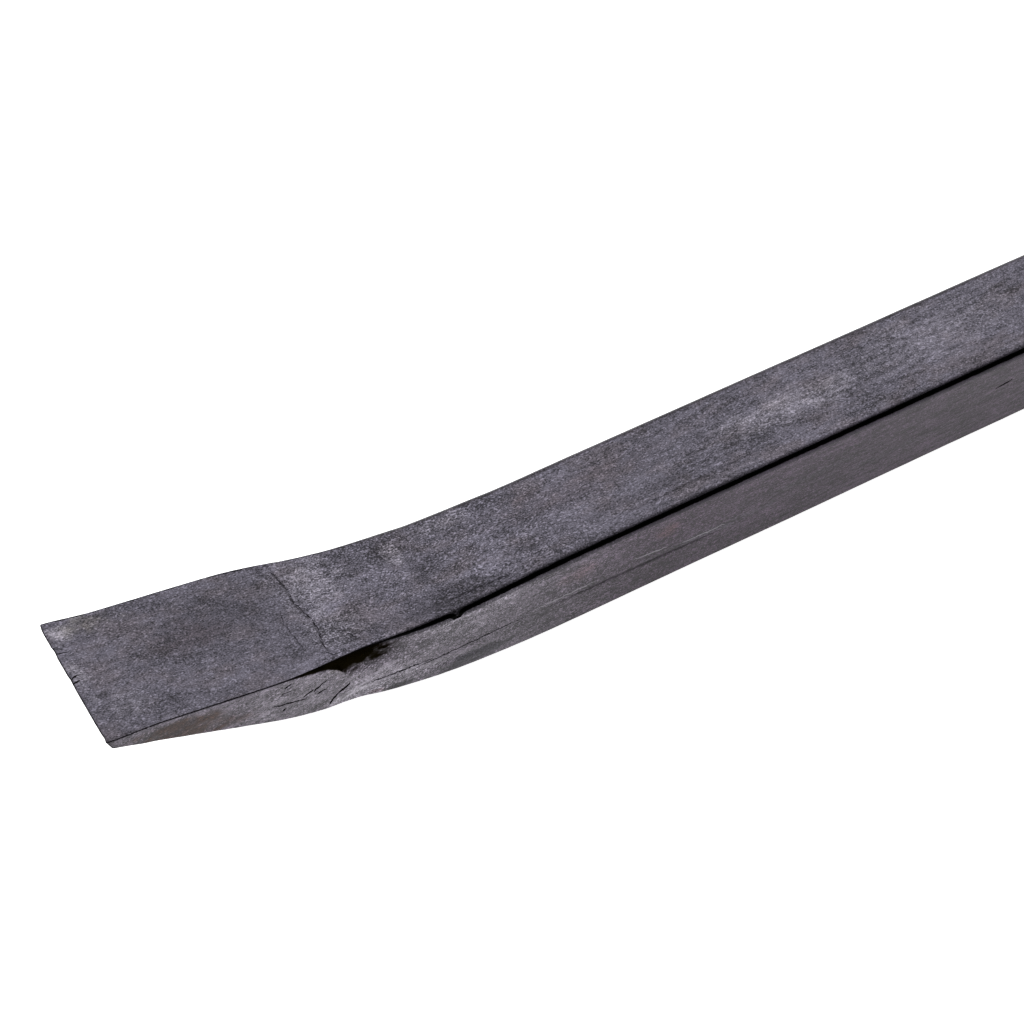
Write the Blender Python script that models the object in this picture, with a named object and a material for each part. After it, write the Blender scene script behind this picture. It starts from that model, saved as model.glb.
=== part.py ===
"""A one-piece forged pry bar with a flared chisel blade, a square shank and a round tapered handle.

The bar lies along X with the blade's edge at -X, its square shank flat on the ground plane z = 0
and its working end bent up. All sizes are in metres.
"""

import math

import bmesh
import bpy

# Driving dimensions
BAR_LENGTH = 0.9144
STOCK_SIZE = 0.0254
CORNER_RADIUS = 0.0020

# Blade, measured along the bar from its edge
BLADE_BEND_START = 0.0634
BLADE_BEND_END = 0.0933
BLADE_BEND_ANGLE = math.radians(11.6)
BEVEL_LENGTH = 0.0425
HEEL_END = 0.1173
BEVEL_ANGLE = math.radians(26.1)
EDGE_SLANT = 0.38
EDGE_SLANT_LENGTH = 0.009

# The blade spreads beyond the stock on each side, in two steps, and a little more at its edge
TRIMMED_SPREAD = 0.0018
TRIMMED_START = 0.0367
TRIMMED_END = 0.0624
FORGED_SPREAD = 0.0012
FORGED_START = 0.0641
FORGED_END = 0.1150
EDGE_SPREAD = 0.0006
EDGE_SPREAD_LENGTH = 0.0127
BLADE_CORNER_RADIUS = 0.0004
CORNER_START = 0.045
CORNER_END = 0.085

# Handle, drawn down from the square stock to a round taper with a rounded end
SQUARE_END = 0.480
ROUND_START = 0.600
ROUND_DIAMETER = 0.0235
HANDLE_END_DIAMETER = 0.0190
END_ROUNDING = 0.0060
LEAST_FLAT = 0.0005

# Mesh fineness
STRETCH_STEPS = 8
TRANSITION_STEPS = 16
HANDLE_STEPS = 6
END_STEPS = 6
CORNER_STEPS = 6
SHARP_ANGLE = math.radians(25)

STEEL_COLOUR = (0.085, 0.080, 0.092, 1.0)
STEEL_METALLIC = 0.75
STEEL_ROUGHNESS = 0.55


def clear_scene():
    """Remove every object that the file opened with."""
    for existing in list(bpy.data.objects):
        bpy.data.objects.remove(existing, do_unlink=True)


def smoothstep(low, high, value):
    """Ease from 0 at low to 1 at high."""
    share = min(max((value - low) / (high - low), 0.0), 1.0)
    return share * share * (3.0 - 2.0 * share)


def bent_height(distance, bend_start, bend_end, angle):
    """Height of a line that is flat past bend_end, turns in an arc and then runs straight to the edge."""
    if distance >= bend_end:
        return 0.0
    radius = (bend_end - bend_start) / math.sin(angle)
    reach = bend_end - max(distance, bend_start)
    arc_height = radius - math.sqrt(radius * radius - reach * reach)
    straight = max(bend_start - distance, 0.0)
    return arc_height + straight * math.tan(angle)


def blade_half_width(distance):
    """Half of the blade's width at a distance from its edge."""
    trimmed = TRIMMED_SPREAD * (1.0 - smoothstep(TRIMMED_START, TRIMMED_END, distance))
    forged = FORGED_SPREAD * (1.0 - smoothstep(FORGED_START, FORGED_END, distance))
    edge = EDGE_SPREAD * (1.0 - smoothstep(0.0, EDGE_SPREAD_LENGTH, distance))
    return STOCK_SIZE / 2.0 + trimmed + forged + edge


def blade_section(distance):
    """Half width, underside, top and corner radius of the blade and the square shank."""
    top = STOCK_SIZE + bent_height(distance, BLADE_BEND_START, BLADE_BEND_END, BLADE_BEND_ANGLE)
    underside = bent_height(distance, BEVEL_LENGTH, HEEL_END, BEVEL_ANGLE)
    rounding = smoothstep(CORNER_START, CORNER_END, distance)
    radius = BLADE_CORNER_RADIUS + (CORNER_RADIUS - BLADE_CORNER_RADIUS) * rounding
    return blade_half_width(distance), underside, top, radius


def handle_section(distance, inset=0.0):
    """The same for the drawn-down handle, made smaller by inset where its end is rounded."""
    rounding = smoothstep(SQUARE_END, ROUND_START, distance)
    neck = STOCK_SIZE + (ROUND_DIAMETER - STOCK_SIZE) * rounding
    along = max(distance - ROUND_START, 0.0) / (BAR_LENGTH - ROUND_START)
    half = (neck + (HANDLE_END_DIAMETER - ROUND_DIAMETER) * along) / 2.0 - inset
    full_round = half - LEAST_FLAT / 2.0
    radius = min(CORNER_RADIUS + (full_round - CORNER_RADIUS) * rounding, full_round)
    middle = STOCK_SIZE / 2.0
    return half, middle - half, middle + half, radius


def spaced(start, end, count):
    """Evenly spaced distances after start, up to and including end."""
    return [start + (end - start) * step / count for step in range(1, count + 1)]


def bar_sections():
    """Every (distance from the edge, section) that the bar is lofted through."""
    stretch_ends = (0.0, BEVEL_LENGTH, BLADE_BEND_START, BLADE_BEND_END, HEEL_END)
    blade = [0.0]
    for start, end in zip(stretch_ends, stretch_ends[1:]):
        blade += spaced(start, end, STRETCH_STEPS)
    blade.append(SQUARE_END)
    sections = [(distance, blade_section(distance)) for distance in blade]

    handle = spaced(SQUARE_END, ROUND_START, TRANSITION_STEPS)
    handle += spaced(ROUND_START, BAR_LENGTH - END_ROUNDING, HANDLE_STEPS)
    sections += [(distance, handle_section(distance)) for distance in handle]

    for step in range(1, END_STEPS + 1):
        turn = step / END_STEPS * math.pi / 2.0
        distance = BAR_LENGTH - END_ROUNDING * (1.0 - math.sin(turn))
        inset = END_ROUNDING * (1.0 - math.cos(turn))
        sections.append((distance, handle_section(distance, inset)))
    return sections


def rounded_outline(half_width, underside, top, radius):
    """(y, z) points of a rectangle with rounded corners, anticlockwise seen from +X."""
    corners = (
        (half_width - radius, top - radius),
        (radius - half_width, top - radius),
        (radius - half_width, underside + radius),
        (half_width - radius, underside + radius),
    )
    outline = []
    for quarter, (centre_y, centre_z) in enumerate(corners):
        for step in range(CORNER_STEPS + 1):
            turn = (quarter + step / CORNER_STEPS) * math.pi / 2.0
            outline.append((centre_y + radius * math.cos(turn), centre_z + radius * math.sin(turn)))
    return outline


def add_ring(mesh, distance, section):
    """Add one section's vertices, with the bar's middle at x = 0 and the blade's edge cut at a slant."""
    top = section[2]
    slant = EDGE_SLANT * (1.0 - smoothstep(0.0, EDGE_SLANT_LENGTH, distance))
    ring = []
    for y, z in rounded_outline(*section):
        x = distance + slant * (top - z) - BAR_LENGTH / 2.0
        ring.append(mesh.verts.new((x, y, z)))
    return ring


def join_rings(mesh, ring, following):
    """Join two neighbouring sections with a band of faces."""
    count = len(ring)
    for index in range(count):
        after = (index + 1) % count
        mesh.faces.new((ring[index], following[index], following[after], ring[after]))


def lofted_bar(name):
    """Loft the whole forging through its sections, close both ends and turn every face outwards."""
    mesh = bmesh.new()
    rings = [add_ring(mesh, distance, section) for distance, section in bar_sections()]
    for ring, following in zip(rings, rings[1:]):
        join_rings(mesh, ring, following)
    mesh.faces.new(rings[0])
    mesh.faces.new(rings[-1])
    bmesh.ops.recalc_face_normals(mesh, faces=mesh.faces[:])

    data = bpy.data.meshes.new(name)
    mesh.to_mesh(data)
    mesh.free()
    data.shade_smooth()
    data.set_sharp_from_angle(angle=SHARP_ANGLE)
    return bpy.data.objects.new(name, data)


def forged_steel():
    """Dark scale as it comes from the forge."""
    material = bpy.data.materials.new("forged_steel")
    material.use_nodes = True
    shader = material.node_tree.nodes["Principled BSDF"]
    shader.inputs["Base Color"].default_value = STEEL_COLOUR
    shader.inputs["Metallic"].default_value = STEEL_METALLIC
    shader.inputs["Roughness"].default_value = STEEL_ROUGHNESS
    return material


def main():
    """Build the pry bar in a collection of its own."""
    clear_scene()
    collection = bpy.data.collections.new("pry_bar")
    bpy.context.scene.collection.children.link(collection)
    bar = lofted_bar("forged_bar")
    bar.data.materials.append(forged_steel())
    collection.objects.link(bar)


main()
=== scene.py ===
"""Looks of a one-piece forged pry bar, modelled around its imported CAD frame.

The bar lies along X with the edge of its blade at -X and its square shank on the floor. Places on the
forging are given as a distance from the blade's edge, and as a place across its top or down its side.
"""

import logging
import math
from dataclasses import dataclass
from enum import Enum

import bpy
import numpy as np
from mathutils import Matrix, Vector


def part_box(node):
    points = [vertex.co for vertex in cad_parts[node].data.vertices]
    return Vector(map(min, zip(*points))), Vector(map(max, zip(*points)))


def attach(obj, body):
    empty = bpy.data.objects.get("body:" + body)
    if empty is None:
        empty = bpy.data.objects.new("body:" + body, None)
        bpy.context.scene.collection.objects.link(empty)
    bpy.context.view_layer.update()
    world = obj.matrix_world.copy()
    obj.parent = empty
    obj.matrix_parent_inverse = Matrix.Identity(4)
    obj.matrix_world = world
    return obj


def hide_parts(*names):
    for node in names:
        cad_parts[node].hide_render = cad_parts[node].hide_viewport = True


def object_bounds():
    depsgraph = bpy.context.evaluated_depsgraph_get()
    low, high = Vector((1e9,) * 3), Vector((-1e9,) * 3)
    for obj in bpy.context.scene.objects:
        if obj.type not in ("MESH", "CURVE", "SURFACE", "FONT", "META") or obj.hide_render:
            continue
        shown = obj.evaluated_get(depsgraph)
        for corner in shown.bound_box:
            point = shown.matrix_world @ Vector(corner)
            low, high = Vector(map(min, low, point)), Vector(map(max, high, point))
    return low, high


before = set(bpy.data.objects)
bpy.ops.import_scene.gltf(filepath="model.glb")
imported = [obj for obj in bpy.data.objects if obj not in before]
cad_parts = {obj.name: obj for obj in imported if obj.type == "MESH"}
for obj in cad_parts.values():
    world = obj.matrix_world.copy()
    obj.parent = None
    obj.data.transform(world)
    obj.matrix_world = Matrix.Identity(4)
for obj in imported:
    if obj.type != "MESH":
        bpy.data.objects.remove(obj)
CAD_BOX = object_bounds()

LOG = logging.getLogger("pry_bar")
MM = 0.001
BODY = "root"
BAR_NODE = "forged_bar"

CRACK_WANDER = 0.22 * MM
CRACK_WANDER_CELL = 0.9 * MM
CRACKED_START = 46.2
CRACKED_END = 53.8
CRACKED_SPACING = 0.2
PATCH_FRAY = 0.34
LINE_CRISPNESS = 2.2
# the sheen that the painted hollow shade loses, and the sheen that near-black lines and the painted dark
# corner reflection keep
HOLLOW_MATTNESS = 0.62
NEAR_BLACK_SHEEN = 0.1

Colour = tuple[float, float, float]


def mm(*sizes: float) -> tuple[float, ...]:
    """Sizes given in millimetres, in metres."""
    return tuple(size * MM for size in sizes)


def smoothstep(low: float, high: float, value: np.ndarray) -> np.ndarray:
    """Ease from 0 at low to 1 at high.

    Args:
        low: value where the result leaves 0.
        high: value where the result reaches 1.
        value: values to ease.

    Returns:
        Eased values from 0 to 1.
    """
    share = np.clip((value - low) / (high - low), 0.0, 1.0)
    return share * share * (3.0 - 2.0 * share)


def lattice_noise(points: np.ndarray, cell: Colour, seed: int) -> np.ndarray:
    """Smooth random values from -1 to 1 over space, the same on each run.

    Args:
        points: (n, 3) places in metres.
        cell: size of one noise cell along X, Y and Z in metres.
        seed: picks one field out of many.

    Returns:
        (n,) noise values.
    """
    table = np.random.default_rng(seed).uniform(-1.0, 1.0, 4096)
    scaled = points / np.array(cell)
    base = np.floor(scaled).astype(np.int64)
    part = scaled - base
    part = part * part * (3.0 - 2.0 * part)
    total = np.zeros(len(points))
    for corner in np.ndindex(2, 2, 2):
        place = base + np.array(corner)
        key = (place[:, 0] * 73856093) ^ (place[:, 1] * 19349663) ^ (place[:, 2] * 83492791)
        weight = np.prod(np.where(np.array(corner) == 1, part, 1.0 - part), axis=1)
        total += weight * table[key % len(table)]
    return total


class BarFace(Enum):
    """The long faces of the bar that a mark can be on."""

    TOP = "top"
    NEAR = "near"
    FAR = "far"


@dataclass(frozen=True)
class Bend:
    """A line along the bar that is flat, turns in an arc and runs straight to the blade's edge."""

    start: float
    end: float
    angle: float

    def height(self, distance: np.ndarray) -> np.ndarray:
        """Height above the flat part.

        Args:
            distance: distances from the blade's edge.

        Returns:
            Heights in metres.
        """
        radius = (self.end - self.start) / math.sin(self.angle)
        reach = np.clip(self.end - np.maximum(distance, self.start), 0.0, None)
        straight = np.clip(self.start - distance, 0.0, None)
        return radius - np.sqrt(radius**2 - reach**2) + straight * math.tan(self.angle)


@dataclass(frozen=True)
class Spread:
    """How far one forging step pushed the blade out beyond the stock on each side."""

    amount: float
    start: float
    end: float

    def width(self, distance: np.ndarray) -> np.ndarray:
        """Spread on one side at distances from the blade's edge."""
        return self.amount * (1.0 - smoothstep(self.start, self.end, distance))


@dataclass(frozen=True)
class Dent:
    """A shallow hollow that a hammer, a die or another bar left in a face."""

    face: BarFace
    along: float
    across: float
    length: float
    width: float
    depth: float
    turn: float = 0.0

    def depth_at(self, along: np.ndarray, across: np.ndarray) -> np.ndarray:
        """Depth of the hollow at places on its face.

        Args:
            along: distances from the blade's edge.
            across: Y on the top face, or distance below the top edge on a side.

        Returns:
            Depths in metres, 0 outside the hollow.
        """
        run = along - self.along
        rise = across - self.across
        turned_run = run * math.cos(self.turn) + rise * math.sin(self.turn)
        turned_rise = rise * math.cos(self.turn) - run * math.sin(self.turn)
        reach = (turned_run / self.length) ** 2 + (turned_rise / self.width) ** 2
        return self.depth * (1.0 - smoothstep(0.15, 1.0, np.sqrt(reach)))


@dataclass(frozen=True)
class DieStep:
    """A low step across the top face where the edge of a forging die or hammer face landed."""

    along: float
    skew: float
    height: float
    softness: float
    reach: float

    def depth_at(self, along: np.ndarray, across: np.ndarray) -> np.ndarray:
        """Depth beside the step, which fades out over its reach towards the handle."""
        past = along - self.along - self.skew * across
        rise = smoothstep(-self.softness, self.softness, past)
        return self.height * rise * (1.0 - smoothstep(0.0, self.reach, past))


TOP_DENTS = (
    Dent(BarFace.TOP, *mm(76.6, 7.0, 4.6, 5.6, 0.30), 0.15),
    Dent(BarFace.TOP, *mm(49.6, 12.6, 3.0, 2.0, 0.34)),
    Dent(BarFace.TOP, *mm(43.5, 5.5, 9.0, 6.0, 0.16)),
    Dent(BarFace.TOP, *mm(58.6, -9.6, 3.4, 2.6, 0.20)),
    Dent(BarFace.TOP, *mm(66.0, -6.0, 7.0, 6.0, 0.14)),
    Dent(BarFace.TOP, *mm(79.0, -8.6, 12.0, 3.4, 0.34), -0.1),
    Dent(BarFace.TOP, *mm(81.6, 0.3, 4.0, 3.6, 0.26), 0.5),
    Dent(BarFace.TOP, *mm(30.0, 9.0, 9.0, 6.0, 0.14)),
    Dent(BarFace.TOP, *mm(22.0, -5.0, 10.0, 5.0, 0.12)),
    Dent(BarFace.TOP, *mm(9.0, 10.0, 6.0, 5.0, 0.14)),
    Dent(BarFace.TOP, *mm(9.4, 0.4, 2.4, 0.9, 0.12), 0.1),
    Dent(BarFace.TOP, *mm(4.2, -4.8, 1.6, 0.8, 0.12)),
    Dent(BarFace.TOP, *mm(140.0, 3.0, 16.0, 7.0, 0.10)),
    Dent(BarFace.TOP, *mm(205.0, -4.0, 20.0, 6.0, 0.10)),
)
SIDE_DENTS = (
    Dent(BarFace.NEAR, *mm(40.4, 2.6, 1.8, 0.6, 0.22), -0.7),
    Dent(BarFace.NEAR, *mm(40.0, 4.6, 1.6, 0.5, 0.16), 0.1),
    Dent(BarFace.NEAR, *mm(44.7, 8.2, 1.6, 0.6, 0.20), -0.5),
    Dent(BarFace.NEAR, *mm(47.1, 7.7, 1.5, 0.5, 0.22), -0.9),
    Dent(BarFace.NEAR, *mm(49.4, 9.7, 1.6, 0.6, 0.22), 0.2),
    Dent(BarFace.NEAR, *mm(50.4, 6.2, 1.8, 0.4, 0.20), -0.9),
    Dent(BarFace.NEAR, *mm(37.0, 7.6, 1.2, 0.5, 0.16), 0.9),
    Dent(BarFace.NEAR, *mm(39.6, 10.6, 1.0, 0.6, 0.18), 0.4),
    Dent(BarFace.NEAR, *mm(57.5, 17.0, 9.0, 4.2, 0.42), -0.1),
    Dent(BarFace.NEAR, *mm(82.0, 17.0, 16.0, 1.5, 0.14), 0.12),
    Dent(BarFace.FAR, *mm(44.0, 6.0, 3.0, 0.9, 0.22), 0.4),
    Dent(BarFace.FAR, *mm(96.0, 12.0, 14.0, 2.2, 0.18), -0.1),
)
DIE_STEPS = (
    DieStep(52.4 * MM, 0.02, 0.07 * MM, 0.5 * MM, 14.0 * MM),
    DieStep(63.0 * MM, -0.05, 0.07 * MM, 0.9 * MM, 12.0 * MM),
    DieStep(80.5 * MM, 0.10, 0.16 * MM, 1.4 * MM, 16.0 * MM),
    DieStep(104.0 * MM, -0.08, 0.08 * MM, 1.6 * MM, 20.0 * MM),
)
# place, reach and share of each gap in the painted dark reflection along the near upper corner
PAINTED_REFLECTION_GAPS = (
    (9.4 * MM, 0.6 * MM, 0.90),
    (82.2 * MM, 1.3 * MM, 0.55),
)
# place across, reach and depth of each chip in the blade's edge
EDGE_CHIPS = (
    mm(9.1, 0.35, 0.16),
    mm(8.0, 0.45, 0.12),
    mm(0.9, 0.40, 0.14),
    mm(-0.5, 0.60, 0.12),
    mm(-12.4, 0.35, 0.14),
    mm(-14.6, 0.60, 0.20),
)


@dataclass(frozen=True)
class Crack:
    """A narrow crack across the top face that wanders from one place to the next."""

    places: tuple[tuple[float, float], ...]
    width: float
    depth: float

    def depth_at(self, along: np.ndarray, across: np.ndarray) -> np.ndarray:
        """Depth of the crack at places on the top face.

        Args:
            along: distances from the blade's edge.
            across: Y on the top face.

        Returns:
            Depths in metres, fading out at both ends of the crack.
        """
        stops = sorted((side, distance) for distance, side in self.places)
        sides = [side for side, _ in stops]
        line = np.interp(across, sides, [distance for _, distance in stops])
        places = np.stack([np.zeros(across.size), across.ravel(), np.zeros(across.size)], axis=1)
        wander = lattice_noise(places, (MM, CRACK_WANDER_CELL, MM), 21)
        line = line + CRACK_WANDER * wander.reshape(across.shape)
        ends = smoothstep(sides[0] - MM, sides[0] + MM, across)
        ends = ends * (1.0 - smoothstep(sides[-1] - MM, sides[-1] + MM, across))
        return self.depth * ends * np.exp(-(((along - line) / self.width) ** 2))


CRACKS = (
    Crack(
        (
            mm(50.6, 13.0),
            mm(51.0, 10.6),
            mm(51.7, 5.8),
            mm(51.3, 2.6),
            mm(51.8, 0.5),
            mm(52.9, -2.7),
            mm(52.7, -6.4),
            mm(51.9, -8.8),
            mm(52.1, -11.0),
        ),
        0.16 * MM,
        0.22 * MM,
    ),
    Crack(
        (mm(48.2, 2.2), mm(46.7, -0.7), mm(47.1, -3.7), mm(47.5, -9.4)),
        0.18 * MM,
        0.08 * MM,
    ),
)


class Tint(Enum):
    """What a mark on the scale looks like."""

    BRIGHT = "bright"
    DARK = "dark"
    BROWN = "brown"
    OLIVE = "olive"
    RUST = "rust"
    NEAR_BLACK = "near_black"


@dataclass(frozen=True)
class TonePatch:
    """A patch of another tone on one face, such as worn, burnt or rusty scale, a painted highlight or
    painted shade.
    """

    face: BarFace
    tint: Tint
    along: float
    across: float
    length: float
    width: float
    strength: float
    ragged: float = 1.2
    softness: float = 0.7

    def mask_at(self, along: np.ndarray, across: np.ndarray, uneven: np.ndarray) -> np.ndarray:
        """Strength of the patch at places on its face.

        Args:
            along: distances from the blade's edge.
            across: Y on the top face, or distance below the top edge on a side.
            uneven: noise from -1 to 1 that frays the patch's outline.

        Returns:
            Strengths from 0 to 1.
        """
        reach = np.hypot((along - self.along) / self.length, (across - self.across) / self.width)
        frayed = reach + PATCH_FRAY * self.ragged * uneven
        return self.strength * (1.0 - smoothstep(1.0 - self.softness, 1.0, frayed))


TONE_PATCHES = (
    # the flat of the blade: burnt middle, brighter band behind the crack, worn far corner
    TonePatch(BarFace.TOP, Tint.DARK, *mm(36.0, 3.0, 17.0, 8.0), 0.34),
    TonePatch(BarFace.TOP, Tint.BROWN, *mm(26.0, 2.5, 12.0, 5.0), 0.22),
    TonePatch(BarFace.TOP, Tint.BRIGHT, *mm(57.0, 6.0, 11.0, 9.0), 0.20),
    TonePatch(BarFace.TOP, Tint.BRIGHT, *mm(56.0, -7.0, 9.0, 7.0), 0.18),
    TonePatch(BarFace.TOP, Tint.BRIGHT, *mm(2.4, 13.0, 2.4, 2.2), 0.50, 2.6),
    TonePatch(BarFace.TOP, Tint.OLIVE, *mm(9.5, 13.4, 7.0, 3.2), 0.28, 2.0),
    TonePatch(BarFace.TOP, Tint.BRIGHT, *mm(2.0, 1.8, 2.0, 7.0), 0.30, 2.2),
    TonePatch(BarFace.TOP, Tint.BRIGHT, *mm(10.6, -14.9, 2.0, 0.55), 0.90, 2.0),
    TonePatch(BarFace.TOP, Tint.NEAR_BLACK, *mm(9.4, 0.4, 1.6, 0.5), 0.70, 1.6),
    TonePatch(BarFace.TOP, Tint.NEAR_BLACK, *mm(4.2, -4.8, 1.2, 0.5), 0.55, 1.6),
    TonePatch(BarFace.TOP, Tint.BRIGHT, *mm(77.2, 6.6, 2.6, 4.2), 0.20, 0.9, 0.25),
    TonePatch(BarFace.TOP, Tint.BRIGHT, *mm(8.0, -9.0, 6.0, 5.0), 0.12),
    # the bend: dark hollow along the near edge, bright scale along the far one
    TonePatch(BarFace.TOP, Tint.DARK, *mm(81.0, -9.0, 16.0, 4.4), 0.62),
    TonePatch(BarFace.TOP, Tint.DARK, *mm(81.8, 0.0, 3.6, 5.0), 0.34),
    TonePatch(BarFace.TOP, Tint.BRIGHT, *mm(91.0, 9.6, 9.0, 3.0), 0.14),
    # painted dark reflection: a narrow dark band on the top face along its near edge, where it rounds into
    # the corner
    TonePatch(BarFace.TOP, Tint.DARK, *mm(100.0, -10.5, 90.0, 1.8), 0.40),
    # the shank's top face
    TonePatch(BarFace.TOP, Tint.DARK, *mm(133.0, -5.0, 42.0, 1.4), 0.42, 2.6),
    TonePatch(BarFace.TOP, Tint.BRIGHT, *mm(176.0, 0.0, 26.0, 5.0), 0.22),
    TonePatch(BarFace.TOP, Tint.BRIGHT, *mm(218.0, 2.0, 34.0, 9.0), 0.10),
    TonePatch(BarFace.TOP, Tint.BROWN, *mm(122.0, 4.0, 30.0, 6.0), 0.18),
    # the trimmed near side: stained edge, clean facet, dark hollow above its point
    TonePatch(BarFace.NEAR, Tint.BROWN, *mm(15.5, 5.6, 15.0, 6.0), 1.0, 0.8, 0.6),
    TonePatch(BarFace.NEAR, Tint.BROWN, *mm(27.0, 7.6, 9.0, 3.0), 0.55, 1.2, 0.8),
    TonePatch(BarFace.NEAR, Tint.BRIGHT, *mm(42.0, 7.5, 17.0, 12.0), 0.20, 0.8),
    TonePatch(BarFace.NEAR, Tint.BRIGHT, *mm(64.0, 15.0, 19.0, 8.0), 0.48, 0.8),
    TonePatch(BarFace.NEAR, Tint.BRIGHT, *mm(82.0, 5.0, 20.0, 7.0), 0.20, 0.8),
    # painted highlight: a narrow light band just below the dark near upper corner
    TonePatch(BarFace.NEAR, Tint.BRIGHT, *mm(90.0, 2.8, 20.0, 2.2), 0.16),
    TonePatch(BarFace.NEAR, Tint.OLIVE, *mm(57.0, 3.6, 8.0, 2.6), 0.40),
    TonePatch(BarFace.NEAR, Tint.BRIGHT, *mm(57.0, 17.0, 9.0, 4.0), 0.42, 0.8),
    # painted highlight: light breaking into the gap in the dark band along the near upper corner
    TonePatch(BarFace.NEAR, Tint.BRIGHT, *mm(80.6, 2.2, 3.4, 1.4), 0.35, 1.0),
    TonePatch(BarFace.NEAR, Tint.DARK, *mm(86.5, 19.8, 9.5, 2.4), 1.0, 1.2, 0.25),
    TonePatch(BarFace.NEAR, Tint.DARK, *mm(68.6, 18.6, 3.6, 1.3), 1.0, 1.2, 0.25),
    TonePatch(BarFace.NEAR, Tint.DARK, *mm(96.0, 24.4, 34.0, 1.2), 0.50, 1.8),
    TonePatch(BarFace.NEAR, Tint.RUST, *mm(62.4, 18.0, 2.4, 0.6), 0.60, 1.0),
    # long streaks and rusty patches along the shank
    TonePatch(BarFace.NEAR, Tint.DARK, *mm(150.0, 14.8, 26.0, 1.5), 0.55, 1.4, 0.6),
    TonePatch(BarFace.NEAR, Tint.DARK, *mm(176.0, 11.0, 22.0, 1.3), 0.40, 1.4, 0.8),
    TonePatch(BarFace.NEAR, Tint.DARK, *mm(203.0, 16.0, 24.0, 1.4), 0.40, 1.4, 0.8),
    TonePatch(BarFace.NEAR, Tint.DARK, *mm(226.0, 7.0, 16.0, 1.6), 0.35, 1.4, 0.8),
    TonePatch(BarFace.NEAR, Tint.RUST, *mm(114.0, 7.6, 6.0, 4.0), 0.36),
    TonePatch(BarFace.NEAR, Tint.RUST, *mm(137.0, 6.3, 4.0, 3.0), 0.42),
)


@dataclass(frozen=True)
class RingGrid:
    """How many faces go round the bar on each flat and corner, and how far apart the rings stand."""

    top: int = 32
    side: int = 26
    underside: int = 18
    corner: int = 6
    blade_spacing: float = 0.45 * MM
    shank_spacing: float = 1.1 * MM
    handle_spacing: float = 4.0 * MM

    def distances(self, blade_end: float, shank_end: float, bar_end: float) -> np.ndarray:
        """Distances of the rings from the blade's edge, closer together where the forging is busier."""
        blade = np.arange(0.0, blade_end, self.blade_spacing)
        cracked = np.arange(CRACKED_START, CRACKED_END, CRACKED_SPACING) * MM
        blade = np.unique(np.round(np.concatenate([blade, cracked]), 6))
        shank = np.arange(blade_end, shank_end, self.shank_spacing)
        handle = np.linspace(shank_end, bar_end, round((bar_end - shank_end) / self.handle_spacing))
        return np.concatenate([blade, shank, handle])


@dataclass
class Rings:
    """Every vertex of the bar's skin as (ring, place round it) arrays."""

    distance: np.ndarray
    y: np.ndarray
    z: np.ndarray
    normal_y: np.ndarray
    normal_z: np.ndarray
    below_top: np.ndarray
    corner: np.ndarray

    def points(self) -> np.ndarray:
        """(n, 3) places with X measured from the blade's edge."""
        return np.stack([self.distance.ravel(), self.y.ravel(), self.z.ravel()], axis=1)

    def sink(self, depth: np.ndarray) -> None:
        """Move the skin inwards along its normals by a depth."""
        self.y = self.y - self.normal_y * depth
        self.z = self.z - self.normal_z * depth


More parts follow.
